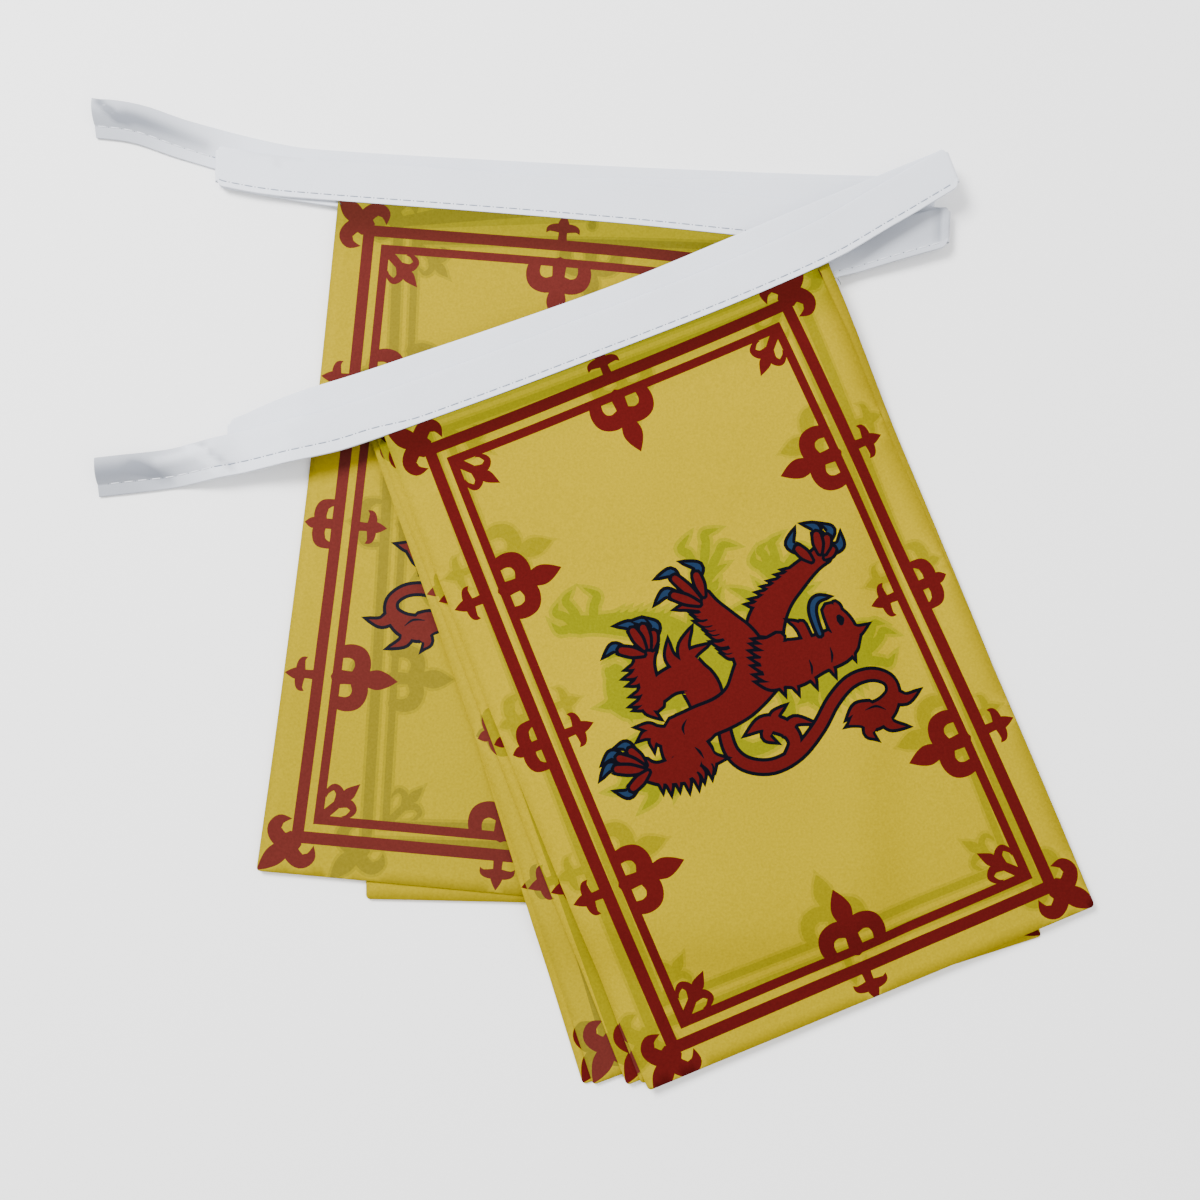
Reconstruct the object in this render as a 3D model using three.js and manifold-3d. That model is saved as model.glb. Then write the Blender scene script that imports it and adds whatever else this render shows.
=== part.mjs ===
// A string of flag bunting, folded up zigzag and laid down flat.
// Eight flags hang from one long doubled tape. The tape runs left and right eight times, turns back on
// itself at seven folds, and leaves two loose tails on the left. The three lowest layers lie straight.
// The five upper layers lie across them at an angle, and come down to the surface beyond their edges.
// Lengths are in millimetres. X runs right, Y runs towards the tape, Z is up.
import * as THREE from "three";
import { ConvexGeometry } from "three/addons/geometries/ConvexGeometry.js";
import { mergeVertices } from "three/addons/utils/BufferGeometryUtils.js";
import Module from "manifold-3d";

const SHEET = 1; // one layer of cloth
const GAP = 0.3; // between a layer and the next, and between a flag and its tape
const PITCH = SHEET + GAP;
const TAPE_WIDTH = 14;
const TAIL_WIDTH = 12; // the loose tails are a little rolled, so they lie narrower
const FLAG_WIDTH = 150;
const CLEARANCE = 2; // how far upper layers stay level past an edge that they lie over
const SLOPE_RUN = 20; // how far they then take to reach what is below
const FIRST_UPPER = 3; // the level of the lowest layer of the upper stack
const TOP_LEVEL = 7;
const LAYER_COUNT = 8;

const EDGE_STEPS = 12; // points along the sewn edge of one run of tape
const SIDE_STEPS = 4; // points along a side of a flag
const FOLD_STEPS = 8; // facets round the outside of a fold
const SEAM_OVERLAP = 0.4; // how far a fold reaches into the runs that it joins
const TAIL_SHARE = 0.05; // the share of a run's length over which its tail stays narrow
const WIDE_SHARE = 0.2; // the share at which the tape is at full width again
const RING_POINTS = 12; // points round a rounded corner of a heap
const REACH = 400; // larger than the whole string
const DEEP = 40; // below and above everything

// Where the tape turns back, in plan: a point on its sewn edge and one on its folded edge.
const FOLDS = {
  left_low: { sewn: [-126.6, 138.7], folded: [-126.9, 152.7] },
  left_mid: { sewn: [-116.5, 45.6], folded: [-116.7, 59.6] },
  left_top: { sewn: [-119.6, 45.2], folded: [-119.6, 59.2] },
  right_low: { sewn: [110, 128.9], folded: [110.2, 142.9] },
  right_second: { sewn: [113.8, 117.2], folded: [114.8, 131.2] },
  right_third: { sewn: [110, 132.6], folded: [105.2, 145.7] },
  right_top: { sewn: [117.2, 135.7], folded: [112.6, 148.9] },
};

// The cut ends of the two tails, in plan.
const TAIL_ENDS = {
  tail_low: { sewn: [-168.4, 156.4], folded: [-168.9, 168.4] },
  tail_top: { sewn: [-162.3, 34.4], folded: [-162.9, 46.4] },
};

// One row for each layer, from the bottom up. The tape runs from one end to the other, and its sewn edge
// passes through the points of via. The flag starts where that edge passes x = start. Its sides are
// turned by turn degrees from straight, are drop long, and bend outwards by bow at mid-length.
const LAYERS = [
  {
    flag: "flag_8", from: "tail_low", to: "right_low", start: -83, turn: -3.4, drop: 219, bow: 0.6,
    via: [[-155.8, 154.6], [-138.5, 148.6], [-110, 140.7], [-83, 137.6], [0, 132.8], [67, 129.9]],
  },
  {
    flag: "flag_7", from: "left_low", to: "right_low", start: -75.5, turn: 0.6, drop: 224, bow: 0.6,
    via: [[-75.5, 130.6], [0, 128], [74.5, 127.4]],
  },
  {
    flag: "flag_6", from: "left_low", to: "right_second", start: -86.6, turn: -5.5, drop: 219, bow: -1.2,
    via: [[-110.5, 135.6], [-87.3, 133.4], [0, 126.3], [62.7, 119.8]],
  },
  {
    flag: "flag_5", from: "left_mid", to: "right_second", start: -71.5, turn: 17.5, drop: 220, bow: 0.5,
    via: [[-71.5, 60.2], [0, 83], [72.8, 105.3]],
  },
  {
    flag: "flag_4", from: "left_mid", to: "right_third", start: -76, turn: 19.6, drop: 220, bow: -0.8,
    via: [[-76, 57.6], [0, 84.5], [64.8, 108.3]],
  },
  {
    flag: "flag_3", from: "left_top", to: "right_third", start: -72.8, turn: 21.6, drop: 220, bow: 0.6,
    via: [[-72.8, 54.9], [0, 83], [66.6, 109.6]],
  },
  {
    flag: "flag_2", from: "left_top", to: "right_top", start: -68, turn: 20.9, drop: 226, bow: 1,
    via: [[-91, 54.6], [-64, 63.4], [0, 86], [46, 105.2], [92.9, 125.5]],
  },
  {
    flag: "flag_1", from: "tail_top", to: "right_top", start: -69, turn: 22.4, drop: 220, bow: 1.5,
    via: [[-133.3, 38], [-94.2, 45], [-69, 52.4], [0, 78.5], [66, 106], [96, 122.8]],
  },
];

const flagCloth = new THREE.MeshStandardMaterial({ color: 0xccba38, roughness: 0.85, metalness: 0 });
const flagBack = new THREE.MeshStandardMaterial({ color: 0xc8b450, roughness: 0.88, metalness: 0 });
const tapeCloth = new THREE.MeshStandardMaterial({ color: 0xe5e7ec, roughness: 0.75, metalness: 0 });

const wasm = await Module();
wasm.setup();

// Solids and geometries
function solidOf(geometry) {
  const bare = geometry.clone();
  bare.deleteAttribute("normal");
  bare.deleteAttribute("uv");
  const merged = mergeVertices(bare, 1e-4);
  return new wasm.Manifold(
    new wasm.Mesh({
      numProp: 3,
      vertProperties: merged.attributes.position.array,
      triVerts: new Uint32Array(merged.index.array),
    }),
  );
}

function geometryOf(solid) {
  const mesh = solid.getMesh();
  const geometry = new THREE.BufferGeometry();
  geometry.setAttribute("position", new THREE.BufferAttribute(new Float32Array(mesh.vertProperties), 3));
  geometry.setIndex(new THREE.BufferAttribute(new Uint32Array(mesh.triVerts), 1));
  const flat = geometry.toNonIndexed();
  flat.computeVertexNormals();
  return flat;
}

// Points in plan
const planPoint = ([x, y]) => new THREE.Vector2(x, y);
const endOf = (name) => FOLDS[name] ?? TAIL_ENDS[name];
const isTail = (name) => name in TAIL_ENDS;

// The sewn edge of one run of tape, from left to right.
function sewnEdge(row) {
  const ends = [endOf(row.from).sewn, ...row.via, endOf(row.to).sewn];
  return new THREE.SplineCurve(ends.map(planPoint));
}

function leftNormal(curve, u) {
  const along = curve.getTangentAt(u);
  return new THREE.Vector2(-along.y, along.x);
}

// How wide the run lies at u: full width, but narrower on a tail, up to where it meets the stack.
function widthAt(row, u) {
  if (!isTail(row.from)) return TAPE_WIDTH;
  const widening = THREE.MathUtils.smoothstep(u, TAIL_SHARE, WIDE_SHARE);
  return TAIL_WIDTH + (TAPE_WIDTH - TAIL_WIDTH) * widening;
}

function runOutline(row) {
  const curve = sewnEdge(row);
  const lower = curve.getSpacedPoints(EDGE_STEPS);
  const upper = [planPoint(endOf(row.from).folded)];
  for (let i = 1; i < EDGE_STEPS; i += 1) {
    const u = i / EDGE_STEPS;
    upper.push(lower[i].clone().addScaledVector(leftNormal(curve, u), widthAt(row, u)));
  }
  upper.push(planPoint(endOf(row.to).folded));
  return [...lower, ...upper.reverse()];
}

// The share of the curve's length at which it passes x.
function shareAtX(curve, x) {
  let low = 0;
  let high = 1;
  for (let i = 0; i < 30; i += 1) {
    const middle = (low + high) / 2;
    if (curve.getPointAt(middle).x < x) low = middle;
    else high = middle;
  }
  return low;
}

// The steps of the sewn edge that lie between two shares of its length.
function sharesBetween(first, last) {
  const shares = Array.from({ length: EDGE_STEPS + 1 }, (_, i) => i / EDGE_STEPS);
  return shares.filter((u) => u > first && u < last);
}

// A side from start to end that bends sideways by bow at its middle.
function bowedSide(start, end, bow) {
  const across = end.clone().sub(start).normalize();
  const middle = start.clone().add(end).multiplyScalar(0.5);
  const control = middle.addScaledVector(new THREE.Vector2(across.y, -across.x), 2 * bow);
  return new THREE.QuadraticBezierCurve(start, control, end).getPoints(SIDE_STEPS);
}

// A flag's outline: its head follows the sewn edge, and its sides hang off that at the row's turn.
function flagOutline(row) {
  const curve = sewnEdge(row);
  const first = shareAtX(curve, row.start);
  const last = first + FLAG_WIDTH / curve.getLength();
  const shares = [first, ...sharesBetween(first, last), last];
  const head = shares.map((u) => curve.getPointAt(u).addScaledVector(leftNormal(curve, u), -GAP));
  const down = new THREE.Vector2(0, -row.drop);
  down.rotateAround(new THREE.Vector2(0, 0), THREE.MathUtils.degToRad(row.turn));
  const topLeft = head[0];
  const topRight = head[head.length - 1];
  const bottomLeft = topLeft.clone().add(down);
  const bottomRight = topRight.clone().add(down);
  const left = bowedSide(bottomLeft, topLeft, -row.bow);
  const right = bowedSide(topRight, bottomRight, -row.bow);
  return [...head, ...right.slice(1), bottomLeft, ...left.slice(1, -1)];
}

function prism(outline, bottom, top) {
  const shape = new THREE.Shape(outline);
  const geometry = new THREE.ExtrudeGeometry(shape, { depth: top - bottom, bevelEnabled: false });
  geometry.translate(0, 0, bottom);
  return solidOf(geometry);
}

// Ground and what lies on it. A heap is level over its points, then slopes down to the ground.
function ring(point, radius, z) {
  return Array.from({ length: RING_POINTS }, (_, i) => {
    const angle = (2 * Math.PI * i) / RING_POINTS;
    return new THREE.Vector3(point.x + radius * Math.cos(angle), point.y + radius * Math.sin(angle), z);
  });
}

function heap(points, height, base) {
  const corners = [];
  for (const point of points) {
    corners.push(...ring(point, CLEARANCE, base + height));
    corners.push(...ring(point, CLEARANCE + SLOPE_RUN, base));
    corners.push(...ring(point, CLEARANCE + SLOPE_RUN, base - SHEET));
  }
  return solidOf(new ConvexGeometry(corners));
}

function ground(top) {
  const geometry = new THREE.BoxGeometry(2 * REACH, 2 * REACH, DEEP);
  geometry.translate(0, 0, top - DEEP / 2);
  return solidOf(geometry);
}

const lowerRows = LAYERS.slice(0, FIRST_UPPER);
const upperRows = LAYERS.slice(FIRST_UPPER, TOP_LEVEL);
const rightFolds = ["right_low", "right_second", "right_third", "right_top"];
const foldPoints = rightFolds.flatMap((name) => [FOLDS[name].sewn, FOLDS[name].folded].map(planPoint));
const lowerFlagPoints = lowerRows.flatMap(flagOutline);
// The lowest run is left out, because its tail reaches far beyond the stack.
const lowerTapePoints = lowerRows.slice(1).flatMap(runOutline).concat(foldPoints);
const upperPoints = upperRows.flatMap((row) => [...flagOutline(row), ...runOutline(row)]);

// What an upper layer lies on, raised by lift: the lower stack's flags and its tape. The last layer lies
// on the whole pile of the others, so that its tail comes down past them.
function bed(level, lift) {
  const under = level * PITCH - FIRST_UPPER * PITCH;
  const height = FIRST_UPPER * PITCH;
  const isLast = level === TOP_LEVEL;
  let body = ground(isLast ? lift : under + lift);
  if (isLast) body = body.add(heap(upperPoints, under, lift));
  body = body.add(heap(lowerFlagPoints, height, under + lift));
  return body.add(heap(lowerTapePoints, height, under + lift));
}

function blanket(level) {
  if (level < FIRST_UPPER) {
    const bottom = level * PITCH;
    return ground(bottom + SHEET).subtract(ground(bottom));
  }
  return bed(level, SHEET).subtract(bed(level, 0));
}

function laid(outline, level) {
  return blanket(level).intersect(prism(outline, -DEEP / 2, DEEP / 2));
}

// A fold: half a ring that joins the run below to the run above, along the line from sewn to folded.
function foldSolid(name, lowerBottom, side) {
  const inner = GAP / 2;
  const outer = inner + SHEET;
  const shape = new THREE.Shape();
  shape.moveTo(-SEAM_OVERLAP, -outer);
  for (let i = 0; i <= FOLD_STEPS; i += 1) {
    const angle = -Math.PI / 2 + (Math.PI * i) / FOLD_STEPS;
    shape.lineTo(outer * Math.cos(angle), outer * Math.sin(angle));
  }
  shape.lineTo(-SEAM_OVERLAP, outer);
  shape.lineTo(-SEAM_OVERLAP, inner);
  for (let i = FOLD_STEPS / 2; i >= 0; i -= 1) {
    const angle = -Math.PI / 2 + (2 * Math.PI * i) / FOLD_STEPS;
    shape.lineTo(inner * Math.cos(angle), inner * Math.sin(angle));
  }
  shape.lineTo(-SEAM_OVERLAP, -inner);
  const sewn = planPoint(FOLDS[name].sewn);
  const line = planPoint(FOLDS[name].folded).sub(sewn);
  const geometry = new THREE.ExtrudeGeometry(shape, { depth: line.length(), bevelEnabled: false });
  const outward = new THREE.Vector3(side * line.y, -side * line.x, 0).normalize();
  const up = new THREE.Vector3(0, 0, 1);
  const along = new THREE.Vector3().crossVectors(outward, up);
  const turned = new THREE.Matrix4().makeBasis(outward, up, along);
  const start = side > 0 ? planPoint(FOLDS[name].folded) : sewn;
  turned.setPosition(start.x, start.y, lowerBottom + SHEET + inner);
  geometry.applyMatrix4(turned);
  return solidOf(geometry);
}

// The height of the underside of a layer where it is folded: right folds lie over the lower stack, and
// the upper layers' left folds lie beyond it, on the ground.
function undersideAtFold(level, side) {
  const onGround = side < 0 && level >= FIRST_UPPER;
  return (onGround ? level - FIRST_UPPER : level) * PITCH;
}

function tapeSolid() {
  let tape = laid(runOutline(LAYERS[0]), 0);
  for (let level = 1; level < LAYER_COUNT; level += 1) {
    const row = LAYERS[level];
    const turnsRight = row.to === LAYERS[level - 1].to;
    const side = turnsRight ? 1 : -1;
    const name = turnsRight ? row.to : row.from;
    tape = tape.add(laid(runOutline(row), level));
    tape = tape.add(foldSolid(name, undersideAtFold(level - 1, side), side));
  }
  return tape;
}

function meshOf(name, solid, material) {
  const mesh = new THREE.Mesh(geometryOf(solid), material);
  mesh.name = name;
  return mesh;
}

const bunting = new THREE.Group();
bunting.add(meshOf("tape", tapeSolid(), tapeCloth));
LAYERS.forEach((row, level) => {
  const showsFront = level % 2 === 1;
  bunting.add(meshOf(row.flag, laid(flagOutline(row), level), showsFront ? flagCloth : flagBack));
});

// The origin is the middle of the whole string in plan, on the surface that it lies on.
const middle = new THREE.Box3().setFromObject(bunting).getCenter(new THREE.Vector3());
bunting.position.set(-middle.x, -middle.y, 0);

export default bunting;
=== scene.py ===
import math
import random

import bpy
import numpy as np
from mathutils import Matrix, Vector
from mathutils.geometry import convex_hull_2d, delaunay_2d_cdt


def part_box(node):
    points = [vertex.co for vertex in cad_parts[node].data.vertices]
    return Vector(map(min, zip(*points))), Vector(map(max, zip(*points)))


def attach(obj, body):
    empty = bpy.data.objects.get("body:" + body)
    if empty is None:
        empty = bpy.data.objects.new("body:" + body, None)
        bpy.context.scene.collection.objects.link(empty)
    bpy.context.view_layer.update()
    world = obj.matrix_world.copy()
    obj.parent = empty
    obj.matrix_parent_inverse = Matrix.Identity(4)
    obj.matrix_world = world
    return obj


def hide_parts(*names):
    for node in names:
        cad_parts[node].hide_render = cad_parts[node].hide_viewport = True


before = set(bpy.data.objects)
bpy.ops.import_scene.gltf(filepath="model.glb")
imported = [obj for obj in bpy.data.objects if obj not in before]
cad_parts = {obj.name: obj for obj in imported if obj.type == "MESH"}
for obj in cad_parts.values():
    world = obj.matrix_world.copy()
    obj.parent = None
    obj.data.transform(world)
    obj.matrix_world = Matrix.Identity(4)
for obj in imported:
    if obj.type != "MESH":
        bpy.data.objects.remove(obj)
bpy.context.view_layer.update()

MM = 0.001

# Sizes that the CAD part has too
PITCH = 1.3
HALF_LAYER = 0.5
GAP = 0.3
TAPE_WIDTH = 14.0
TAIL_WIDTH = 12.0
TAIL_SHARE = 0.05  # the share of a run's length over which its tail stays narrow
WIDE_SHARE = 0.2  # the share at which the tape is at full width again
CLEARANCE = 2.0
SLOPE_RUN = 20.0
FIRST_UPPER = 3
TOP_LEVEL = 7

# The flags and their print
FLAG_WIDTH = 150.0
FLAG_DROP = 220.0
TUCK = 3.6  # how far a flag reaches up into its tape
FLAG_THICKNESS = 0.3
CORNER_RADIUS = 1.2
GRID = 4.0  # between the cloth's points
EDGE_GRID = 3.0
STROKE_STEPS = 5  # between one point of a stroke and the next
OUTLINE = 1.1  # the dark line round the lion
HALO = 0.6  # how far the print below shows fainter round its own edge
# How far the print of some flags sits off its place, along and down the flag, at the four corners of its
# border: near the tape on the left and the right, and then far from it
PRINT_OFFSETS = {
    "flag_1": ((0.8, -0.1), (-3.2, -2.7), (1.1, 2.8), (0.9, 1.0)),
    "flag_2": ((-2.2, -2.4), (-2.2, -2.4), (-2.2, -2.4), (-2.2, -2.4)),
    "flag_7": ((-1.9, -5.2), (-1.9, -5.2), (-11.1, -5.2), (-11.1, -5.2)),
}
IN_VIEW = (2, 7)  # the layers whose face is in full view, the top one of each stack

# The tape
PLY = 0.22
TAPE_HALF = 0.4
STITCH_LINE = 1.9
TAIL_STITCH_LINE = 3.7
STITCH_PITCH = 4.4
STITCH_LENGTH = 2.9
STITCH_PROFILE = ((0, -0.14), (0.1, 0.06), (0.5, 0.1), (0.9, 0.06), (1, -0.14))  # share and height
SEAM_GROOVE = 0.08
THREAD = 0.17
THREAD_SIDES = 6
NEEDLE_HOLE = 0.2
STATION = 2.6
FOLD_STEPS = 8
FOLD_ROUND = 1.6  # how round the corners are where the tape folds back
TAIL_LIFT = 4.5  # how far a tail's folded edge stands up
TAIL_PUFF = 1.5
TAIL_TURN = 18.0  # how far from a run's end its folded edge turns into the end's line
# Painted shade on the loose tails of the top run and the lowest run, as if they turn away from the light
TOP_TAIL_SHADE = 1.0
LOW_TAIL_SHADE = 0.72
FOLD_SHADE = 0.6  # painted shade where the tape shows under the right end of the top run, as if in its shadow
CREASE_SHADE_AND_HIGHLIGHT = 0.9  # painted shade for each millimetre that a groove is deep; a ridge gets as much painted highlight

# Creases in the tape: layer, from, to, height (a negative one is a groove) and half width
CREASES = [
    (7, (-130.6, 52.0), (-119.2, 43.4), -0.5, 1.0),
    (7, (-133.4, 51.2), (-123.4, 43.2), 0.4, 1.6),
    (7, (-143.0, 45.0), (-127.0, 48.6), 0.45, 1.8),
    (7, (-150.0, 43.5), (-140.0, 40.0), -0.35, 2.0),
    (7, (-92.6, 59.9), (-72.6, 67.1), -0.22, 0.9),
    (7, (-108.0, 52.0), (-96.0, 56.0), 0.18, 1.4),
    (0, (-166.5, 167.2), (-158.8, 160.4), -0.6, 1.2),
    (0, (-156.6, 162.0), (-131.0, 152.8), -0.4, 2.2),
    (2, (-105.7, 148.4), (-108.8, 144.0), -0.18, 0.8),
    (2, (-117.0, 149.9), (-99.0, 147.9), -0.12, 1.0),
    (2, (112.0, 133.0), (111.4, 119.4), -0.3, 0.6),
    (3, (112.0, 133.0), (111.4, 119.4), -0.3, 0.6),
]

# How the layers settle: free edges sag towards the layer below, and the cloth is a little wavy
SAG = 0.62
SAG_REACH = 38.0
WAVE_BASE = 0.1
WAVE_STEP = 0.13

# The camera looks down on the middle of the string from the front, a little off straight down
LOOK_AT = (0.0, 0.0, 6.0)
CAMERA_DISTANCE = 470.0
CAMERA_TILT = 7.2
LENS = 44.4
FLOOR_REACH = 3.0  # metres from the middle of the floor to its edges

# Colours as seen, 0 to 255
FRONT = {
    "yellow": (164, 142, 0), "line_halo": (150, 132, 0), "line_ghost": (132, 119, 0),
    "lion_halo": (142, 131, 0), "lion_ghost": (118, 117, 2),
    "red": (81, 16, 15), "navy": (8, 9, 18), "blue": (22, 42, 68),
}
BACK = {
    "yellow": (160, 139, 6), "line_halo": (143, 126, 16), "line_ghost": (123, 109, 25),
    "lion_halo": (139, 124, 18), "lion_ghost": (119, 107, 26),
    "red": (91, 35, 31), "navy": (24, 23, 32), "blue": (38, 52, 74),
}
TAPE_WHITE = (219, 223, 232)
TAPE_SHADE = (0.3, 0.31, 0.33)  # what the tape's colour is multiplied by where its painted shade is deepest
CLOTH_SHADE = (0.66, 0.74, 0.62)  # and a flag's, where its painted shade under the tape's edge is deepest
# The stitch thread is white; on the main tape it is painted darker, as the shade in the seam's trough
SHADED_STITCH_COLOR = (134, 143, 160)
TAIL_STITCH_COLOR = (232, 235, 242)
# Dark discs painted as the shade inside the needle holes
NEEDLE_HOLE_SHADE_COLOR = (70, 80, 96)
DARK_THREAD_COLOR = (52, 66, 60)

FOLDS = {
    "left_low": ((-126.6, 138.7), (-126.9, 152.7)),
    "left_mid": ((-116.5, 45.6), (-116.7, 59.6)),
    "left_top": ((-119.6, 45.2), (-119.6, 59.2)),
    "right_low": ((110, 128.9), (110.2, 142.9)),
    "right_second": ((113.8, 117.2), (114.8, 131.2)),
    "right_third": ((110, 132.6), (105.2, 145.7)),
    "right_top": ((117.2, 135.7), (112.6, 148.9)),
}
TAIL_ENDS = {
    "tail_low": ((-168.4, 156.4), (-168.9, 168.4)),
    "tail_top": ((-162.3, 34.4), (-162.9, 46.4)),
}
ENDS = {**FOLDS, **TAIL_ENDS}

# One row for each layer, from the bottom up, as in the CAD part: where its tape runs from and to, where
# its flag starts, the turn and drop of the flag's sides, how far they bend outwards, and the points that
# the sewn edge passes.
LAYERS = [
    ("flag_8", "tail_low", "right_low", -83, -3.4, 219, 0.6,
     [(-155.8, 154.6), (-138.5, 148.6), (-110, 140.7), (-83, 137.6), (0, 132.8), (67, 129.9)]),
    ("flag_7", "left_low", "right_low", -75.5, 0.6, 224, 0.6, [(-75.5, 130.6), (0, 128), (74.5, 127.4)]),
    ("flag_6", "left_low", "right_second", -86.6, -5.5, 219, -1.2,
     [(-110.5, 135.6), (-87.3, 133.4), (0, 126.3), (62.7, 119.8)]),
    ("flag_5", "left_mid", "right_second", -71.5, 17.5, 220, 0.5, [(-71.5, 60.2), (0, 83), (72.8, 105.3)]),
    ("flag_4", "left_mid", "right_third", -76, 19.6, 220, -0.8, [(-76, 57.6), (0, 84.5), (64.8, 108.3)]),
    ("flag_3", "left_top", "right_third", -72.8, 21.6, 220, 0.6, [(-72.8, 54.9), (0, 83), (66.6, 109.6)]),
    ("flag_2", "left_top", "right_top", -68, 20.9, 226, 1,
     [(-91, 54.6), (-64, 63.4), (0, 86), (46, 105.2), (92.9, 125.5)]),
    ("flag_1", "tail_top", "right_top", -69, 22.4, 220, 1.5,
     [(-133.3, 38), (-94.2, 45), (-69, 52.4), (0, 78.5), (66, 106), (96, 122.8)]),
]

# The CAD part is centred on the origin, so its tape's box gives the shift from plan to frame. The end of
# the lower tail is that box's left and far corner.
tape_low, tape_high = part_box("tape")
tail_corner = TAIL_ENDS["tail_low"][1]
SHIFT = (tape_low[0] / MM - tail_corner[0], tape_high[1] / MM - tail_corner[1])


# Curves
def smooth(points, steps):
    """A uniform Catmull-Rom curve through points, whose rows may hold any number of values."""
    p = np.asarray(points, float)
    padded = np.vstack([p[:1], p, p[-1:]])
    t = (np.arange(steps) / steps)[:, None]
    parts = []
    for i in range(len(p) - 1):
        a, b, c, d = padded[i:i + 4]
        curve = 2 * b + (c - a) * t + (2 * a - 5 * b + 4 * c - d) * t ** 2 + (3 * b - a - 3 * c + d) * t ** 3
        parts.append(0.5 * curve)
    return np.vstack(parts + [p[-1:]])


def sample(at, places, rows):
    """Rows of values, taken between their places."""
    return np.stack([np.interp(at, places, column) for column in np.transpose(rows)], -1)


def smoothstep(value, low, high):
    t = np.clip((np.asarray(value, float) - low) / (high - low), 0, 1)
    return t * t * (3 - 2 * t)


class Run:
    """One run of tape. Its sewn edge is measured by its length from its left end."""

    def __init__(self, row):
        self.flag, self.start_name, self.end_name, start, self.turn, self.drop, self.bow, via = row
        self.points = smooth([ENDS[self.start_name][0], *via, ENDS[self.end_name][0]], 60)
        steps = np.hypot(*np.diff(self.points, axis=0).T)
        self.lengths = np.concatenate([[0], np.cumsum(steps)])
        self.length = self.lengths[-1]
        self.is_tail = self.start_name in TAIL_ENDS
        self.flag_start = float(np.interp(start, self.points[:, 0], self.lengths))

    def at(self, length):
        return sample(length, self.lengths, self.points)

    def normal(self, length):
        along = self.at(np.minimum(length + 1, self.length)) - self.at(np.maximum(length - 1, 0))
        along = along / np.linalg.norm(along, axis=-1, keepdims=True)
        return np.stack([-along[..., 1], along[..., 0]], -1)

    def width(self, length):
        if not self.is_tail:
            return TAPE_WIDTH
        wide = float(smoothstep(length / self.length, TAIL_SHARE, WIDE_SHARE))
        return TAIL_WIDTH + (TAPE_WIDTH - TAIL_WIDTH) * wide

    def folded(self, length):
        """The folded edge opposite a point of the sewn edge. Near a fold it turns into the fold's line."""
        upright = self.at(length) + self.normal(length) * self.width(length)
        for name, distance in ((self.start_name, length), (self.end_name, self.length - length)):
            sewn, folded = (np.array(end, float) for end in ENDS[name])
            share = 1 - float(smoothstep(distance, 0, TAIL_TURN))
            upright = upright * (1 - share) + (self.at(length) + folded - sewn) * share
        return upright

    def rounding(self, length):
        """How far both edges draw in at the rounded corners of a fold."""
        ends = ((self.start_name, length), (self.end_name, self.length - length))
        distance = min([d for name, d in ends if name in FOLDS], default=FOLD_ROUND)
        share = 1 - min(max(distance, 0) / FOLD_ROUND, 1)
        return FOLD_ROUND * (1 - math.sqrt(1 - share ** 2))

    def stitch_line(self, length):
        """How far the seam lies from the sewn edge: further on a tail, where the tape has turned."""
        if not self.is_tail:
            return STITCH_LINE
        loose = 1 - float(smoothstep(length, self.flag_start - 6, self.flag_start + 14))
        return STITCH_LINE + (TAIL_STITCH_LINE - STITCH_LINE) * loose

    def plan(self, u, v):
        """Where the point u along and v down the flag lies. A v below 0 is inside the tape."""
        u = np.asarray(u, float)
        v = np.asarray(v, float)
        along = self.flag_start + u
        normal = self.normal(along)
        head = self.at(along) - GAP * normal
        left = self.at(self.flag_start) - GAP * self.normal(self.flag_start)
        far = self.flag_start + FLAG_WIDTH
        right = self.at(far) - GAP * self.normal(far)
        t = np.clip(v, 0, None)[..., None] / FLAG_DROP
        share = u[..., None] / FLAG_WIDTH
        chord = left + (right - left) * share
        angle = math.radians(self.turn)
        down = np.array([math.sin(angle), -math.cos(angle)]) * self.drop
        sideways = np.array([math.cos(angle), math.sin(angle)])
        bow = self.bow * 4 * t * (1 - t) * (2 * share - 1)
        tucked = normal * np.clip(-v, 0, None)[..., None]
        return head * (1 - t) + chord * t + down * t + sideways * bow + tucked

    def unplan(self, points):
        """The u and v of points in plan."""
        left, right, bottom = (self.plan(*uv) for uv in ((0, 0), (FLAG_WIDTH, 0), (0, FLAG_DROP)))
        basis = np.stack([(right - left) / FLAG_WIDTH, (bottom - left) / FLAG_DROP], -1)
        back = np.linalg.inv(basis)
        uv = (points - left) @ back.T
        for _ in range(6):
            uv = uv + (points - self.plan(uv[:, 0], np.maximum(uv[:, 1], 0))) @ back.T
        return uv


RUNS = [Run(row) for row in LAYERS]


# Heights
def hull_of(points):
    points = np.unique(np.round(np.array(points, float), 3), axis=0)
    return points[convex_hull_2d([tuple(p) for p in points])]


def distance_outside(points, hull):
    """How far each point lies outside a convex outline, or 0 inside it."""
    edges = np.roll(hull, -1, axis=0) - hull
    away = points[:, None, :] - hull[None]
    share = np.clip((away * edges).sum(-1) / (edges ** 2).sum(-1), 0, 1)
    gaps = np.linalg.norm(away - edges * share[..., None], axis=-1).min(1)
    turn = edges[:, 0] * away[..., 1] - edges[:, 1] * away[..., 0]
    inside = (turn >= 0).all(1) | (turn <= 0).all(1)
    return np.where(inside, 0, gaps)


def flag_corners(run):
    u = np.array([0, FLAG_WIDTH, FLAG_WIDTH, 0])
    v = np.array([0, 0, FLAG_DROP, FLAG_DROP])
    return run.plan(u, v)


def tape_outline(run):
    lengths = np.linspace(0, run.length, 13)
    return [*run.at(lengths), *(run.folded(length) for length in lengths)]


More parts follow.
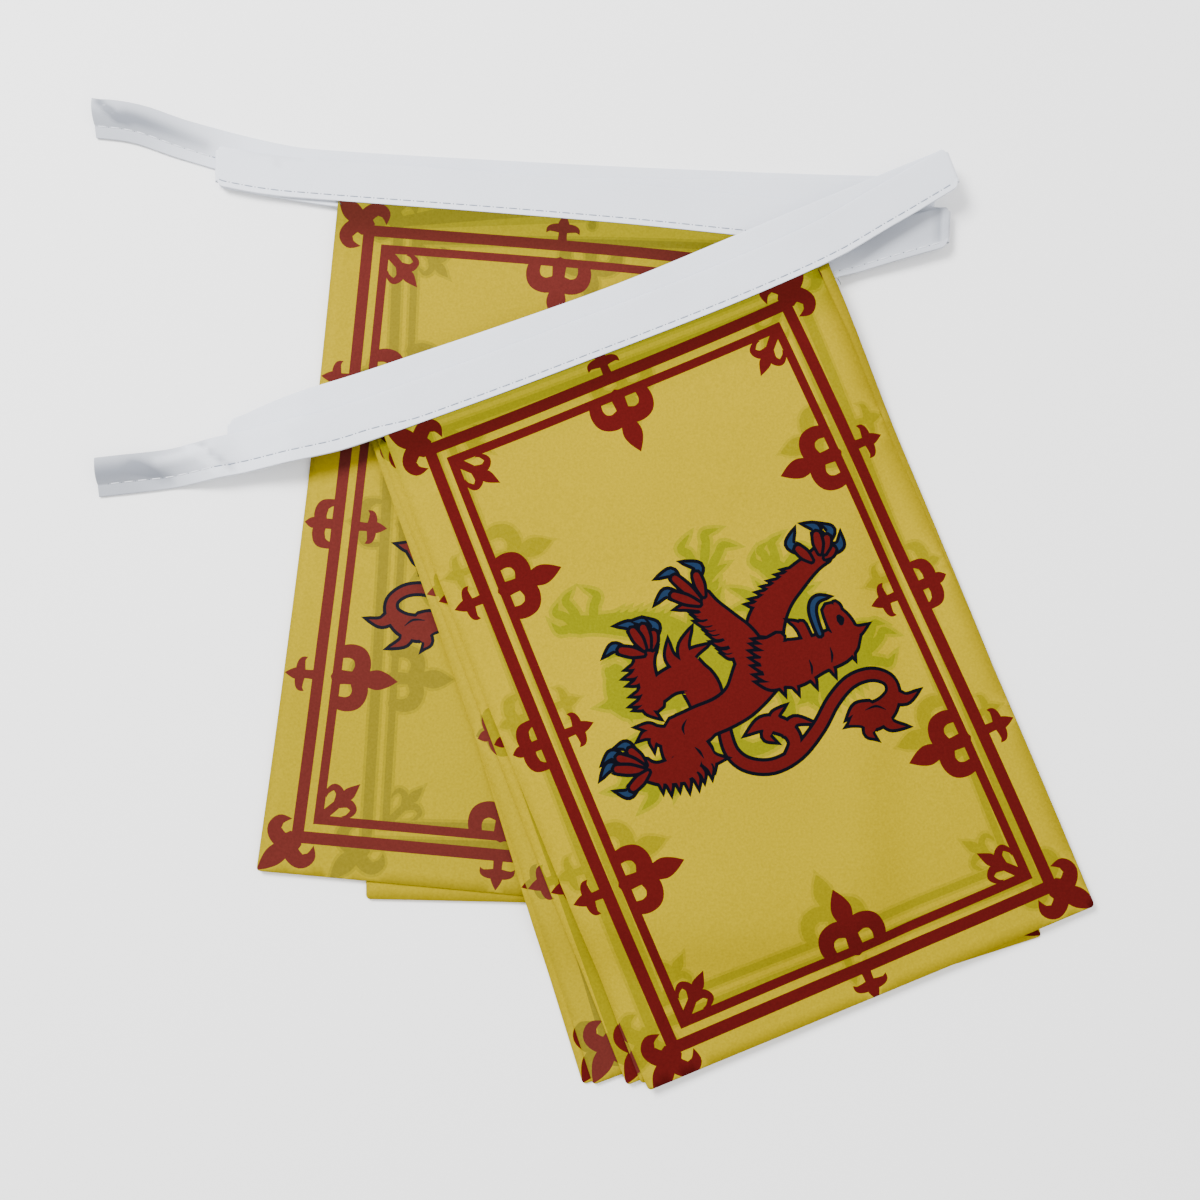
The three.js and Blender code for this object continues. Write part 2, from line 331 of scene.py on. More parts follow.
right_folds = [p for name, ends in FOLDS.items() if name.startswith("right") for p in ends]
lower_flags = hull_of([p for run in RUNS[:FIRST_UPPER] for p in flag_corners(run)])
lower_tape = hull_of([p for run in RUNS[1:FIRST_UPPER] for p in tape_outline(run)] + right_folds)
upper_pile = hull_of(
    [p for run in RUNS[FIRST_UPPER:TOP_LEVEL] for p in [*flag_corners(run), *tape_outline(run)]]
)


def height_left(points, hull):
    return 1 - smoothstep(distance_outside(points, hull), CLEARANCE, CLEARANCE + SLOPE_RUN)


def bed(level, points):
    """The surface that a layer lies on, as in the CAD part."""
    if level < FIRST_UPPER:
        return np.full(len(points), level * PITCH)
    low = np.maximum(height_left(points, lower_flags), height_left(points, lower_tape))
    low = low * FIRST_UPPER * PITCH
    under = (level - FIRST_UPPER) * PITCH
    if level < TOP_LEVEL:
        return low + under
    return low + under * height_left(points, upper_pile)


def make_waves(seed):
    """A few long seeded ripples, so that no cloth is dead flat."""
    dice = random.Random(seed)
    ripples = []
    for wavelength in (150, 105, 78, 58, 44):
        angle = dice.uniform(0, math.pi)
        size = wavelength / 150
        ripples.append((angle, 2 * math.pi / wavelength, dice.uniform(0, 6.28), size))
    total = sum(ripple[3] for ripple in ripples)

    def waves(points):
        z = np.zeros(len(points))
        for angle, rate, phase, size in ripples:
            along = points[:, 0] * math.cos(angle) + points[:, 1] * math.sin(angle)
            z += size / total * np.sin(along * rate + phase)
        return z

    return waves


stack_waves = {False: make_waves(11), True: make_waves(24)}


def edge_share(points, run):
    """Nears 1 at and beyond the free sides of a flag, and is 0 in its middle and near its tape."""
    corners = flag_corners(run)
    edges = np.roll(corners, -1, axis=0) - corners
    normals = np.column_stack([-edges[:, 1], edges[:, 0]]) / np.linalg.norm(edges, axis=1)[:, None]
    normals *= np.sign(((corners.mean(0) - corners) * normals).sum(1))[:, None]
    head, right, bottom, left = ((points - c) @ normal for c, normal in zip(corners, normals))
    free = np.minimum(np.minimum(right, left), bottom)
    return (1 - smoothstep(free, 0, SAG_REACH)) * smoothstep(head, 12, 70)


def middle_height(level, points):
    """The height of the middle of a layer's thickness."""
    upper = level >= FIRST_UPPER
    place = level - FIRST_UPPER if upper else level
    sag = place * SAG * edge_share(points, RUNS[5] if upper else RUNS[1])
    wave = (WAVE_BASE + WAVE_STEP * place) * stack_waves[upper](points)
    return bed(level, points) + HALF_LAYER - sag + wave


def lift(points, heights):
    """Points of the plan with their heights, in metres in the frame."""
    xy = points + np.array(SHIFT)
    return np.column_stack([xy, heights]) * MM


# The print: tapered strokes, each a row of x, y and width
def stroke(points, grow=0.0):
    """The outline of a stroke that is round at a wide end and pointed at an end of no width."""
    line = smooth(points, STROKE_STEPS)
    ahead = np.roll(line, -1, axis=0)[:, :2]
    behind = np.roll(line, 1, axis=0)[:, :2]
    ahead[-1] = line[-1, :2]
    behind[0] = line[0, :2]
    along = ahead - behind
    along = along / np.maximum(np.linalg.norm(along, axis=1, keepdims=True), 1e-9)
    across = np.column_stack([-along[:, 1], along[:, 0]])
    half = np.clip(np.clip(line[:, 2:], 0, None) / 2 + grow, 0.02, None)
    left = line[:, :2] + across * half
    right = line[:, :2] - across * half

    def cap(i, forward):
        if line[i, 2] < 0.3:
            return [line[i, :2] + forward * max(0.05 + grow * 2.4, 0.02)]
        side = np.array([-forward[1], forward[0]])
        corners = ((0.7, 0.7), (1, 0), (0.7, -0.7))
        return [line[i, :2] + half[i] * (forward * c + side * s) for c, s in corners]

    return np.array([*left, *cap(-1, along[-1]), *right[::-1], *cap(0, -along[0])])


def tuft(x, y, lean, size):
    """A short curved spike of fur that points along lean."""
    lx, ly = np.array(lean) / np.hypot(*lean)
    bend = 0.17 * size
    return [
        (x - lx * size * 0.3, y - ly * size * 0.3, size * 0.6),
        (x + lx * size * 0.35 - ly * bend, y + ly * size * 0.35 + lx * bend, size * 0.4),
        (x + lx * size, y + ly * size, 0),
    ]


def fringe(line, count, size, lean):
    points = smooth(line, 12)
    picks = np.linspace(0, len(points) - 1, count).round().astype(int)
    return [tuft(*points[i], lean, size * (0.85 + 0.3 * (i % 2))) for i in picks]


# A rearing lion, seen from its left side, drawn group over group from the far limbs to the head.
# X runs from its claws to its tail, and Y up. Each claw has the toe's root and end, then its own bend
# and tip.
CLAWS = [
    ((23.4, 95.2), (21.9, 98.2), (21.4, 101.2), (18.8, 102.6)),
    ((21.8, 95.6), (17.9, 98.2), (15.9, 100.4), (13.6, 99.0)),
    ((21.2, 94.2), (15.7, 95.6), (13.2, 96.2), (11.2, 93.6)),
    ((22.4, 90.6), (17.6, 88.4), (15.0, 86.6), (11.9, 89.2)),
    ((19.4, 54.8), (12.8, 55.2), (10.4, 56.8), (7.6, 53.2)),
    ((20.0, 53.0), (11.2, 48.6), (8.8, 48.0), (8.8, 44.0)),
    ((21.4, 52.4), (16.0, 46.2), (14.2, 44.0), (15.8, 40.4)),
    ((28.6, 33.4), (24.6, 35.4), (22.4, 37.0), (19.8, 35.6)),
    ((28.0, 32.4), (21.6, 33.2), (19.8, 33.8), (18.6, 31.0)),
    ((27.8, 31.0), (21.4, 29.8), (19.2, 29.6), (18.0, 26.2)),
    ((29.2, 30.0), (25.6, 24.2), (23.8, 22.2), (25.0, 19.0)),
    ((61.0, 17.0), (55.6, 14.8), (53.2, 13.8), (52.8, 11.2)),
    ((61.4, 16.4), (56.2, 10.6), (54.2, 8.8), (55.4, 5.8)),
    ((62.4, 16.0), (59.0, 8.6), (57.4, 6.6), (59.4, 3.4)),
    ((63.4, 17.0), (66.0, 11.0), (67.2, 8.8), (65.6, 6.2)),
]
FAR_LEG = [
    [(54, 41.5, 8), (47, 42.6, 10.5), (41.4, 41, 9.6), (40.2, 35, 7.4), (41.4, 29.4, 7)],
    [(44, 27.4, 6), (38, 28, 5.4), (32.5, 29, 5.4), (28.6, 30.8, 6), (27.4, 32.2, 6)],
    [(42, 27, 5), (45.4, 24.8, 2.8), (49, 26.6, 0)],
    [(40, 43.6, 4.6), (35.2, 43.4, 3), (34.2, 49.4, 0)],
    [(39, 42, 4.6), (32.2, 42.4, 2.8), (27.8, 46.6, 0)],
    [(38.4, 39.6, 4), (33.4, 37.4, 2.6), (28.8, 38.6, 0)],
    *fringe([(31, 26.8), (35, 25.6), (40, 25), (43.6, 24.4)], 6, 3.5, (0.25, -1)),
]
RAISED_ARM = [
    [(42, 65, 11), (34.6, 69.6, 10.6), (29.4, 76, 8.2), (25.8, 83.4, 6.6), (23.2, 90.4, 5),
     (21.8, 95.2, 5.4)],
    *fringe([(22.6, 84.4), (24.2, 79), (26, 74), (28.2, 69.4)], 7, 3.2, (-0.2, -1)),
]
TAIL = [
    [(56, 46, 1.6), (61.4, 43.8, 2.8), (68, 43.4, 3.2), (73.2, 46.6, 3.4), (76.4, 53.4, 3.4),
     (75.6, 62, 3.3), (71, 71, 3.1), (65.2, 78.6, 3), (61.8, 86, 2.9), (62.2, 93, 2.8),
     (65.6, 97.6, 2.8), (69.8, 97.6, 3.6), (73.2, 93.8, 6), (74.4, 88.6, 7.4), (73.2, 84.2, 5.2),
     (73.8, 80, 0)],
    [(75.8, 59, 2.6), (72.6, 62.4, 3.2), (68.6, 62.4, 3.8), (65.2, 59.6, 4.4), (63.2, 55.4, 3.6),
     (64.2, 50, 0)],
    [(71, 97, 4), (73.4, 100.6, 2.4), (72.8, 104.8, 0)],
    [(75.6, 91.6, 4), (79, 92.6, 2.6), (81.2, 96.8, 0)],
    [(76, 87, 4), (78.4, 85, 2.6), (80.6, 86, 0)],
    [(71.6, 88, 4), (70.2, 84.4, 2.6), (71.6, 80.8, 0)],
    [(68.2, 61.4, 3), (66.2, 65.2, 2.2), (68.8, 69.8, 0)],
    [(65.4, 60.2, 3), (62.4, 60, 2.2), (61, 63.6, 0)],
    [(64.6, 57.6, 3), (67.2, 55.2, 2.2), (69.6, 56.8, 0)],
]
BODY = [
    [(45, 65, 13), (48.5, 60.5, 14.5), (53.6, 53, 11), (55.4, 46, 9.4), (55.6, 38, 9.6), (57, 31, 12)],
    [(46, 61, 11), (37, 60.2, 9), (30, 57.5, 7.2), (24, 55, 5.8), (20, 53.6, 5.8)],
    [(56.4, 39, 9), (57, 32, 12), (61, 29.6, 12), (65.4, 28.6, 9), (66.2, 23.6, 7)],
    [(66.4, 27, 8), (65.4, 21, 6.2), (63.6, 17.8, 5.4), (61.8, 16, 6)],
    [(60, 34.4, 5), (64.6, 35.4, 5), (67.2, 37.2, 3), (68.4, 40.4, 0)],
    [(57, 28.6, 7), (54.8, 25.4, 5.2), (53, 23.4, 4)],
    [(53, 24.4, 2.4), (50.8, 22.6, 2), (49.6, 19.8, 0)],
    [(53.4, 23.4, 2.4), (52.6, 21, 2), (53.2, 18.6, 0)],
    [(54, 23.6, 2.4), (55.4, 22.2, 1.6), (57.4, 21.6, 0)],
    [(22, 53, 3.4), (20.8, 49.4, 2), (20.2, 45.6, 0)],
    *fringe([(24.5, 51.8), (29, 53), (34, 54.4), (40, 55.6)], 9, 2.8, (-0.4, -1)),
    *fringe([(67.2, 36.4), (69.4, 31), (69, 25), (67.2, 19)], 8, 3.1, (1, 0.06)),
]
HEAD = [
    [(48, 68.4, 13), (49.6, 72, 14), (50, 80, 11), (50, 86.6, 10.6), (48.4, 90, 10)],
    [(48.2, 90, 9), (45.2, 90.6, 7.4), (42, 90.1, 6.3), (39.4, 89.5, 4.7)],
    [(40.6, 91.5, 2), (39, 91.9, 1.6), (37.8, 91.7, 1)],
    [(49, 79.4, 4), (44.8, 79.2, 2.6), (41.6, 79.1, 2.5), (39.8, 79.2, 2.2)],
    [(41, 78.8, 2), (39, 77.9, 1.2), (37.4, 76.5, 0)],
    [(47.2, 92.4, 4.4), (48.2, 95, 2.4), (47.8, 98, 0)],
    *fringe([(52.4, 89.4), (54.8, 81.6), (55.6, 74.8), (55.4, 68.8), (54, 64.8)], 5, 3.4, (0.95, 0.3)),
    *fringe([(40.4, 69.4), (43.4, 67), (48, 65.8), (53, 64.8)], 7, 6.4, (-0.35, -1)),
]
TONGUE = [
    [(44.6, 83.4, 0.9), (41, 83.6, 1.1), (37.4, 84.2, 1.4), (35, 85.6, 1.5), (34.2, 87.6, 1.2),
     (34.8, 90.2, 0)],
]
DARK_LINES = [
    [(53, 34.4, 0.2), (54.8, 32.4, 0.9), (57, 32, 0.2)],
    [(66, 34.6, 0.2), (63.6, 34.2, 0.9), (61.8, 33.4, 0.2)],
    [(74, 93, 0.2), (71.8, 90.4, 0.8), (71.6, 86.6, 0.2)],
    [(42.1, 91.1, 1.8), (43, 91.2, 2.5), (44, 91, 1.7)],
    [(43.4, 86.2, 0.8), (44.6, 86.6, 0.9), (45.8, 87, 0.2)],
    [(49.6, 84.6, 0.2), (52, 84.2, 0.8), (54, 83.2, 0.4)],
    [(50.6, 77, 0.2), (53, 76.8, 0.8), (55, 76, 0.4)],
]


def lion_groups():
    """Groups of strokes with the colour of each, from the lowest up."""
    claws = [[(*end, 2.1), (*bend, 1.9), (*tip, 0)] for _, end, bend, tip in CLAWS]
    toes = []
    for root, end, _, _ in CLAWS:
        middle = ((root[0] + end[0]) / 2, (root[1] + end[1]) / 2)
        toes.append([(*root, 0.6), (*middle, 2.3), (*end, 2.0)])
    groups = [(claws, "blue"), (FAR_LEG, "red"), (RAISED_ARM, "red"), (TAIL, "red"), (BODY, "red")]
    groups += [([toe], "red") for toe in toes]
    return groups + [(HEAD, "red"), (TONGUE, "blue")]


def on_flag(outline):
    """The lion lies on its side on the flag: its feet towards the hoist side, its face to the tape."""
    return np.column_stack([outline[:, 1] + 20, outline[:, 0] + 65])


def lion_outlines(grow):
    return [on_flag(stroke(points, grow)) for strokes, _ in lion_groups() for points in strokes]


def lion_shapes():
    shapes = []
    for strokes, color in lion_groups():
        shapes += [(on_flag(stroke(points, OUTLINE)), "navy") for points in strokes]
        shapes += [(on_flag(stroke(points)), color) for points in strokes]
    return shapes + [(on_flag(stroke(points)), "navy") for points in DARK_LINES]


# The double border and its lilies. The outer line's outer edge is this box, in u and v.
BORDER = (9.2, 7.2, 140.6, 210.2)
LINE_WIDTHS = ((0, 3.8), (6.3, 9.2))
BIG_LILY = [
    [(0, -1, 4.8), (0, 3, 4.2), (0, 7.4, 4.6), (0, 11.6, 6.4), (0, 15, 4.4), (0, 18.4, 0)],
    [(0, 5.4, 5.4), (4, 6.6, 5.2), (7.3, 5.4, 5.2), (8.5, 2.4, 4.6), (8, -0.8, 4)],
]
OUTER_LILY = [
    [(0, -1, 3.4), (0, 2.5, 3.4), (0, 4.6, 3.8), (0, 7, 3.2), (0, 8.9, 0)],
    [(0.4, 3.6, 4), (3.2, 4, 4.2), (5.8, 3.1, 4), (6.9, 0.8, 2.6), (6.9, -1, 2.2)],
]
SMALL_LILY = [
    [(0, -1, 3.2), (0, 2.4, 2.8), (0, 4.6, 4), (0, 6.8, 2.8), (0, 9.1, 0)],
    [(0, 3.9, 3.4), (2.8, 4.1, 2.8), (4.6, 3.6, 1.9), (5.5, 2.2, 0)],
]
CORNER_LILY = [
    [(1, 1, 4), (-2, -2, 5.6), (-4.8, -4.8, 6.2), (-7.2, -7.3, 3.8), (-9.4, -9.5, 0)],
    [(1.4, -0.2, 4.4), (-3.2, 0.7, 5), (-5.6, 3.9, 4.6), (-4, 6.8, 3.4), (-0.4, 7.4, 0)],
]
INNER_LILY = [
    [(-1, -1, 3), (3.2, 3.2, 2.8), (5.4, 5.5, 2.4), (7.4, 7.6, 3.8), (10.4, 10.8, 0)],
    [(4, 4, 2.8), (4.4, 7.4, 2.8), (2.4, 9.2, 2.2), (0.4, 7.6, 1.4), (0.2, 5.6, 0)],
]


def lily(design, grow, swap=False):
    """A design's strokes with the second and later ones mirrored too."""
    mirrored = [[(y, x, w) if swap else (-x, y, w) for x, y, w in points] for points in design[1:]]
    return [stroke(points, grow) for points in design + mirrored]


def border_shapes(grow=0.0):
    """The outlines of the border and its lilies, each grown all round by so much."""
    u0, v0, u1, v1 = BORDER
    shapes = []
    for near, far in [(near - grow, far + grow) for near, far in LINE_WIDTHS]:
        a0, b0, a1, b1 = u0 + near, v0 + near, u1 - near, v1 - near
        w = far - near
        for x0, y0, x1, y1 in ((a0, b0, a1, b0 + w), (a0, b1 - w, a1, b1),
                               (a0, b0, a0 + w, b1), (a1 - w, b0, a1, b1)):
            shapes.append(np.array([(x0, y0), (x1, y0), (x1, y1), (x0, y1)]))
    inset = LINE_WIDTHS[1][1]
    middle = (u0 + u1) / 2
    # Each place: the big lily's foot, and the way it points; a small one points the other way.
    places = []
    for v, inward in ((59.2, True), (107.9, False), (157, True)):
        for side, u in ((1, u0), (-1, u1)):
            places.append(((u, v), (side, 0), inward))
    for side, v in ((1, v0), (-1, v1)):
        places.append(((middle, v), (0, side), True))
    for (u, v), (du, dv), inward in places:
        feet = {True: (u + du * inset, v + dv * inset, 1), False: (u, v, -1)}
        for is_big, design in ((True, BIG_LILY if inward else OUTER_LILY), (False, SMALL_LILY)):
            x, y, way = feet[inward == is_big]
            for outline in lily(design, grow):
                along, out = outline[:, :1], outline[:, 1:] * way
                shapes.append(np.array([x, y]) + out * np.array([du, dv]) + along * np.array([-dv, du]))
    for u, du in ((u0, 1), (u1, -1)):
        for v, dv in ((v0, 1), (v1, -1)):
            for outline in lily(CORNER_LILY, grow, swap=True):
                shapes.append(np.array([u, v]) + outline * np.array([du, dv]))
            for outline in lily(INNER_LILY, grow, swap=True):
                shapes.append(np.array([u + du * inset, v + dv * inset]) + outline * np.array([du, dv]))
    return shapes


def laid_print(level, shapes):
    """Shapes of the print as they lie on a flag: mirrored on one that lies reverse side up."""
    near_left, near_right, far_left, far_right = np.array(PRINT_OFFSETS.get(RUNS[level].flag, ((0, 0),) * 4))
    u0, v0, u1, v1 = BORDER
    laid = []
    for outline, color in shapes:
        if level % 2 == 0:
            outline = np.column_stack([FLAG_WIDTH - outline[:, 0], outline[:, 1]])
        across = (outline[:, :1] - u0) / (u1 - u0)
        down = (outline[:, 1:] - v0) / (v1 - v0)
        near = near_left + (near_right - near_left) * across
        far = far_left + (far_right - far_left) * across
        laid.append((outline + near + (far - near) * down, color))
    return laid


def flag_print(level):
    return laid_print(level, [(outline, "red") for outline in border_shapes()] + lion_shapes())


def ghosts(level):
    """The print of the next layer down, which shows through faintly, in this layer's own u and v."""
    if level in (0, FIRST_UPPER):
        return []
    shapes = [(outline, "line_ghost") for outline in border_shapes()]
    if level in IN_VIEW:
        halo = [(outline, "line_halo") for outline in border_shapes(HALO)]
        ghost = [(outline, "line_ghost") for outline in border_shapes(-HALO / 2)]
        lion_halo = [(outline, "lion_halo") for outline in lion_outlines(OUTLINE + HALO / 2)]
        lion_ghost = [(outline, "lion_ghost") for outline in lion_outlines(HALO / 2)]
        shapes = halo + ghost + lion_halo + lion_ghost
    below = RUNS[level - 1]
    here = RUNS[level]
    return [(here.unplan(below.plan(s[:, 0], s[:, 1])), kind) for s, kind in laid_print(level - 1, shapes)]


# Flags
def cloth_outline():
    """The cut edge of a flag in u and v, with its two free corners a little rounded."""
    r = CORNER_RADIUS
    corner = [(math.cos(a), math.sin(a)) for a in np.linspace(0, math.pi / 2, 4)]
    points = [(u, -TUCK) for u in np.arange(0, FLAG_WIDTH + 0.1, EDGE_GRID)]
    points += [(FLAG_WIDTH, v) for v in np.arange(0, FLAG_DROP - EDGE_GRID, EDGE_GRID)]
    points += [(FLAG_WIDTH - r + r * c, FLAG_DROP - r + r * s) for c, s in corner]
    points += [(u, FLAG_DROP) for u in np.arange(FLAG_WIDTH - EDGE_GRID, EDGE_GRID - 0.1, -EDGE_GRID)]
    points += [(r - r * s, FLAG_DROP - r + r * c) for c, s in corner]
    points += [(0, v) for v in np.arange(FLAG_DROP - EDGE_GRID, -0.1, -EDGE_GRID)]
    return np.array(points)


def is_inside(points, outline):
    """Which points an outline winds round, also where it crosses itself."""
    turns = np.zeros(len(points), int)
    x, y = points[:, 0], points[:, 1]
    for (x0, y0), (x1, y1) in zip(outline, np.roll(outline, -1, axis=0)):
        if y0 == y1:
            continue
        side = (x1 - x0) * (y - y0) - (x - x0) * (y1 - y0)
        turns += ((y0 <= y) & (y < y1) & (side > 0)).astype(int)
        turns -= ((y1 <= y) & (y < y0) & (side < 0)).astype(int)
    return turns != 0


def with_short_edges(loop):
    """A loop with points added, so that its long edges can follow a curved cloth."""
    points = []
    for a, b in zip(loop, np.roll(loop, -1, axis=0)):
        count = max(1, math.ceil(np.hypot(*(b - a)) / EDGE_GRID))
        points += [tuple(a + (b - a) * i / count) for i in range(count)]
    return points


def cut_sheet(outline, shapes):
    """Triangles of a sheet in u and v, cut along every shape, and the colour name of each."""
    points = []
    edges = []
    for loop in [outline, *(s for s, _ in shapes)]:
        first = len(points)
        more = with_short_edges(loop)
        points += more
        edges += [(first + i, first + (i + 1) % len(more)) for i in range(len(more))]
    for u in np.arange(GRID, FLAG_WIDTH - 0.5 * GRID, GRID):
        points += [(u, v) for v in np.arange(0, FLAG_DROP - 0.5 * GRID, GRID)]
    flat, _, faces, _, _, _ = delaunay_2d_cdt(points, edges, [], 0, 0.002)
    flat = np.array([tuple(p) for p in flat])
    faces = np.array(faces)
    centers = flat[faces].mean(1)
    keep = is_inside(centers, outline)
    faces = faces[keep]
    centers = centers[keep]
    names = np.full(len(faces), "yellow", dtype="<U12")
    for loop, name in shapes:
        near = ((centers >= loop.min(0)) & (centers <= loop.max(0))).all(1).nonzero()[0]
        names[near[is_inside(centers[near], loop)]] = name
    used, faces = np.unique(faces, return_inverse=True)
    return flat[used], faces.reshape(-1, 3), names


def linear(color):
    """A colour of 0 to 255 as seen, as the linear values that Blender works in."""
    shares = [c / 255 for c in color]
    return [s / 12.92 if s <= 0.04045 else ((s + 0.055) / 1.055) ** 2.4 for s in shares] + [1.0]


def new_object(name, vertices, faces, material):
    mesh = bpy.data.meshes.new(name)
    mesh.from_pydata([tuple(v) for v in vertices], [], [tuple(f) for f in faces])
    mesh.materials.append(material)
    obj = bpy.data.objects.new(name, mesh)
    bpy.context.collection.objects.link(obj)
    for polygon in mesh.polygons:
        polygon.use_smooth = True
    return obj


def paint(obj, colors, counts):
    """Stores one colour for each face, for the material to read."""
    layer = obj.data.color_attributes.new(name="print", type="FLOAT_COLOR", domain="CORNER")
    layer.data.foreach_set("color", np.repeat(np.array(colors), counts, axis=0).ravel())


def add_shade(obj, values):
    """Stores each point's painted shade: how far its colour goes from plain, 0, to shaded, 1."""
    layer = obj.data.attributes.new(name="shade", type="FLOAT", domain="POINT")
    layer.data.foreach_set("value", values)


def make_flag(level, material):
    run = RUNS[level]
    shows_front = level % 2 == 1
    shapes = ghosts(level) + flag_print(level)
    uv, faces, names = cut_sheet(cloth_outline(), shapes)
    plan = run.plan(uv[:, 0], uv[:, 1])
    height = middle_height(level, plan)
    top = lift(plan, height + FLAG_THICKNESS / 2)
    bottom = lift(plan, height - FLAG_THICKNESS / 2)
    a, b, c = (plan[faces[:, i]] for i in range(3))
    clockwise = np.cross(b - a, c - a) < 0
    faces[clockwise] = faces[clockwise][:, ::-1]
    sides = np.vstack([faces[:, [0, 1]], faces[:, [1, 2]], faces[:, [2, 0]]])
    _, index, counts = np.unique(np.sort(sides, 1), axis=0, return_index=True, return_counts=True)
    rim = sides[index[counts == 1]]
    n = len(uv)
    quads = [(b, a, a + n, b + n) for a, b in rim]
    vertices = np.vstack([top, bottom])
    all_faces = [*faces.tolist(), *(faces[:, ::-1] + n).tolist(), *quads]
    obj = new_object(run.flag + "_cloth", vertices, all_faces, material)
    upper, lower = (FRONT, BACK) if shows_front else (BACK, FRONT)
    colors = [linear(upper[name]) for name in names]
    colors += [linear(lower["yellow" if name.endswith(("_halo", "_ghost")) else name]) for name in names]
    colors += [linear(upper["yellow"])] * len(quads)
    paint(obj, colors, [3] * (2 * len(faces)) + [4] * len(quads))
    # Painted shade: darkest right under the tape's edge, as if in its shadow, fading out by 20 mm down, and
    # a little more painted shade towards the bottom of the flag
    shade = 1 - smoothstep(uv[:, 1], 3, 20) + 0.22 * smoothstep(uv[:, 1], 90, 210)
    add_shade(obj, np.tile(shade, 2))
    return obj


# Tape
def section(width, puff, seam):
    """The tape's section: a strip doubled over, open at its sewn edge at 0, folded at width.

    A positive puff swells its upper ply, and a negative one its lower ply."""
    near = [0, 0.3, seam - 0.9, seam - 0.4, seam, seam + 0.4, seam + 0.9]
    rest = width - near[-1]
    across = near + [near[-1] + rest * s for s in (0.12, 0.26, 0.4, 0.55, 0.7, 0.84, 0.95)]
    uppers = []
    lowers = []
    for w in across:
        swell = math.sin(math.pi * min(max(w - seam, 0) / (width - seam), 1)) ** 0.8
        flat = TAPE_HALF - SEAM_GROOVE * math.exp(-((w - seam) / 0.45) ** 2)
        uppers.append(flat + max(puff, 0) * swell)
        lowers.append(flat + max(-puff, 0) * swell)

    def ply(inset):
        middle = (uppers[-1] - lowers[-1]) / 2
        radius = (uppers[-1] + lowers[-1]) / 2 - inset
        bend = [(across[-1] + (width - across[-1] - inset) * math.sin(t), middle - radius * math.cos(t))
                for t in np.linspace(0, math.pi, 7)[1:-1]]
        lower = [(w, inset - h) for w, h in zip(across, lowers)]
        upper = [(w, h - inset) for w, h in zip(across, uppers)]
        return lower + bend + upper[::-1]

    return ply(0) + ply(PLY)[::-1]


def run_lengths(run):
    """Where a run of tape has its stations, with more of them at a rounded fold."""
    close = FOLD_ROUND * np.array([0.04, 0.18, 0.45, 0.9])
    lengths = np.linspace(0, run.length, int(run.length / STATION) + 1)
    inner = lengths[(lengths > FOLD_ROUND) & (lengths < run.length - FOLD_ROUND)]
    return np.concatenate([[0], close, inner, run.length - close[::-1], [run.length]])


def stations():
    """Every station of the tape from end to end, in order."""
    result = []
    for level, run in enumerate(RUNS):
        rightwards = level % 2 == 0
        lengths = run_lengths(run)
        sewn = run.at(lengths)
        folded = np.array([run.folded(length) for length in lengths])
        across = (folded - sewn) / np.linalg.norm(folded - sewn, axis=1, keepdims=True)
        drawn = np.array([run.rounding(length) for length in lengths])[:, None]
        sewn = sewn + across * drawn
        folded = folded - across * drawn
        # A tail is loose towards its end, where it stands up a little and the doubled tape swells.
        loose = (1 - smoothstep(lengths, 8, 52)) * run.is_tail
        puffs = TAIL_PUFF * (1 - smoothstep(lengths, 15, 60)) * run.is_tail
        low = lift(sewn, middle_height(level, sewn))
        high = lift(folded, middle_height(level, folded) + TAIL_LIFT * loose)
        up = np.cross(np.gradient(low, axis=0), high - low)
        up = up / np.linalg.norm(up, axis=1, keepdims=True) * (1 if rightwards else -1)
        # Painted shade: a loose tail is greyed as if turned away from the light, and the run under the top
        # run's right end as if in its shadow
        shades = loose * (TOP_TAIL_SHADE if level == TOP_LEVEL else LOW_TAIL_SHADE)
        if run.end_name == "right_second":
            shades = FOLD_SHADE * smoothstep(lengths, 190, 222)
        rows = []
        for i, length in enumerate(lengths):
            rows.append({
                "level": level, "sewn": low[i], "folded": high[i], "up": up[i], "shade": float(shades[i]),
                "seam": run.stitch_line(length), "width": run.width(length),
                "puff": math.copysign(puffs[i], up[i][2]),
            })
        result += rows if rightwards else rows[::-1]
        if level < TOP_LEVEL:
            result += fold_stations(run, rightwards, level)
    return result


def fold_stations(run, rightwards, level):
    """The tape turns over and back on itself, round a half circle between one layer and the next."""
    name = run.end_name if rightwards else run.start_name
    ends = np.array(FOLDS[name], float)
    line = ends[1] - ends[0]
    ends = ends + np.array([1, -1])[:, None] * line / np.linalg.norm(line) * FOLD_ROUND
    outward = np.array([line[1], -line[0], 0]) / np.linalg.norm(line)
    if not rightwards:
        outward = -outward
    low = lift(ends, middle_height(level, ends))
    high = lift(ends, middle_height(level + 1, ends))
    center = (low + high) / 2
    radius = (high - low)[:, 2:] / 2
    sign = 1.0 if rightwards else -1.0
    up = np.array([0, 0, 1.0])
    result = []
    for i in range(1, FOLD_STEPS):
        angle = math.pi * i / FOLD_STEPS
        points = center + radius * (outward * math.sin(angle) - up * math.cos(angle))
        normal = sign * (up * math.cos(angle) - outward * math.sin(angle))
        result.append({
            "level": None, "sewn": points[0], "folded": points[1], "up": normal, "seam": STITCH_LINE,
            "width": TAPE_WIDTH, "puff": 0.0, "shade": FOLD_SHADE if name == "right_second" else 0.0,
        })
    return result


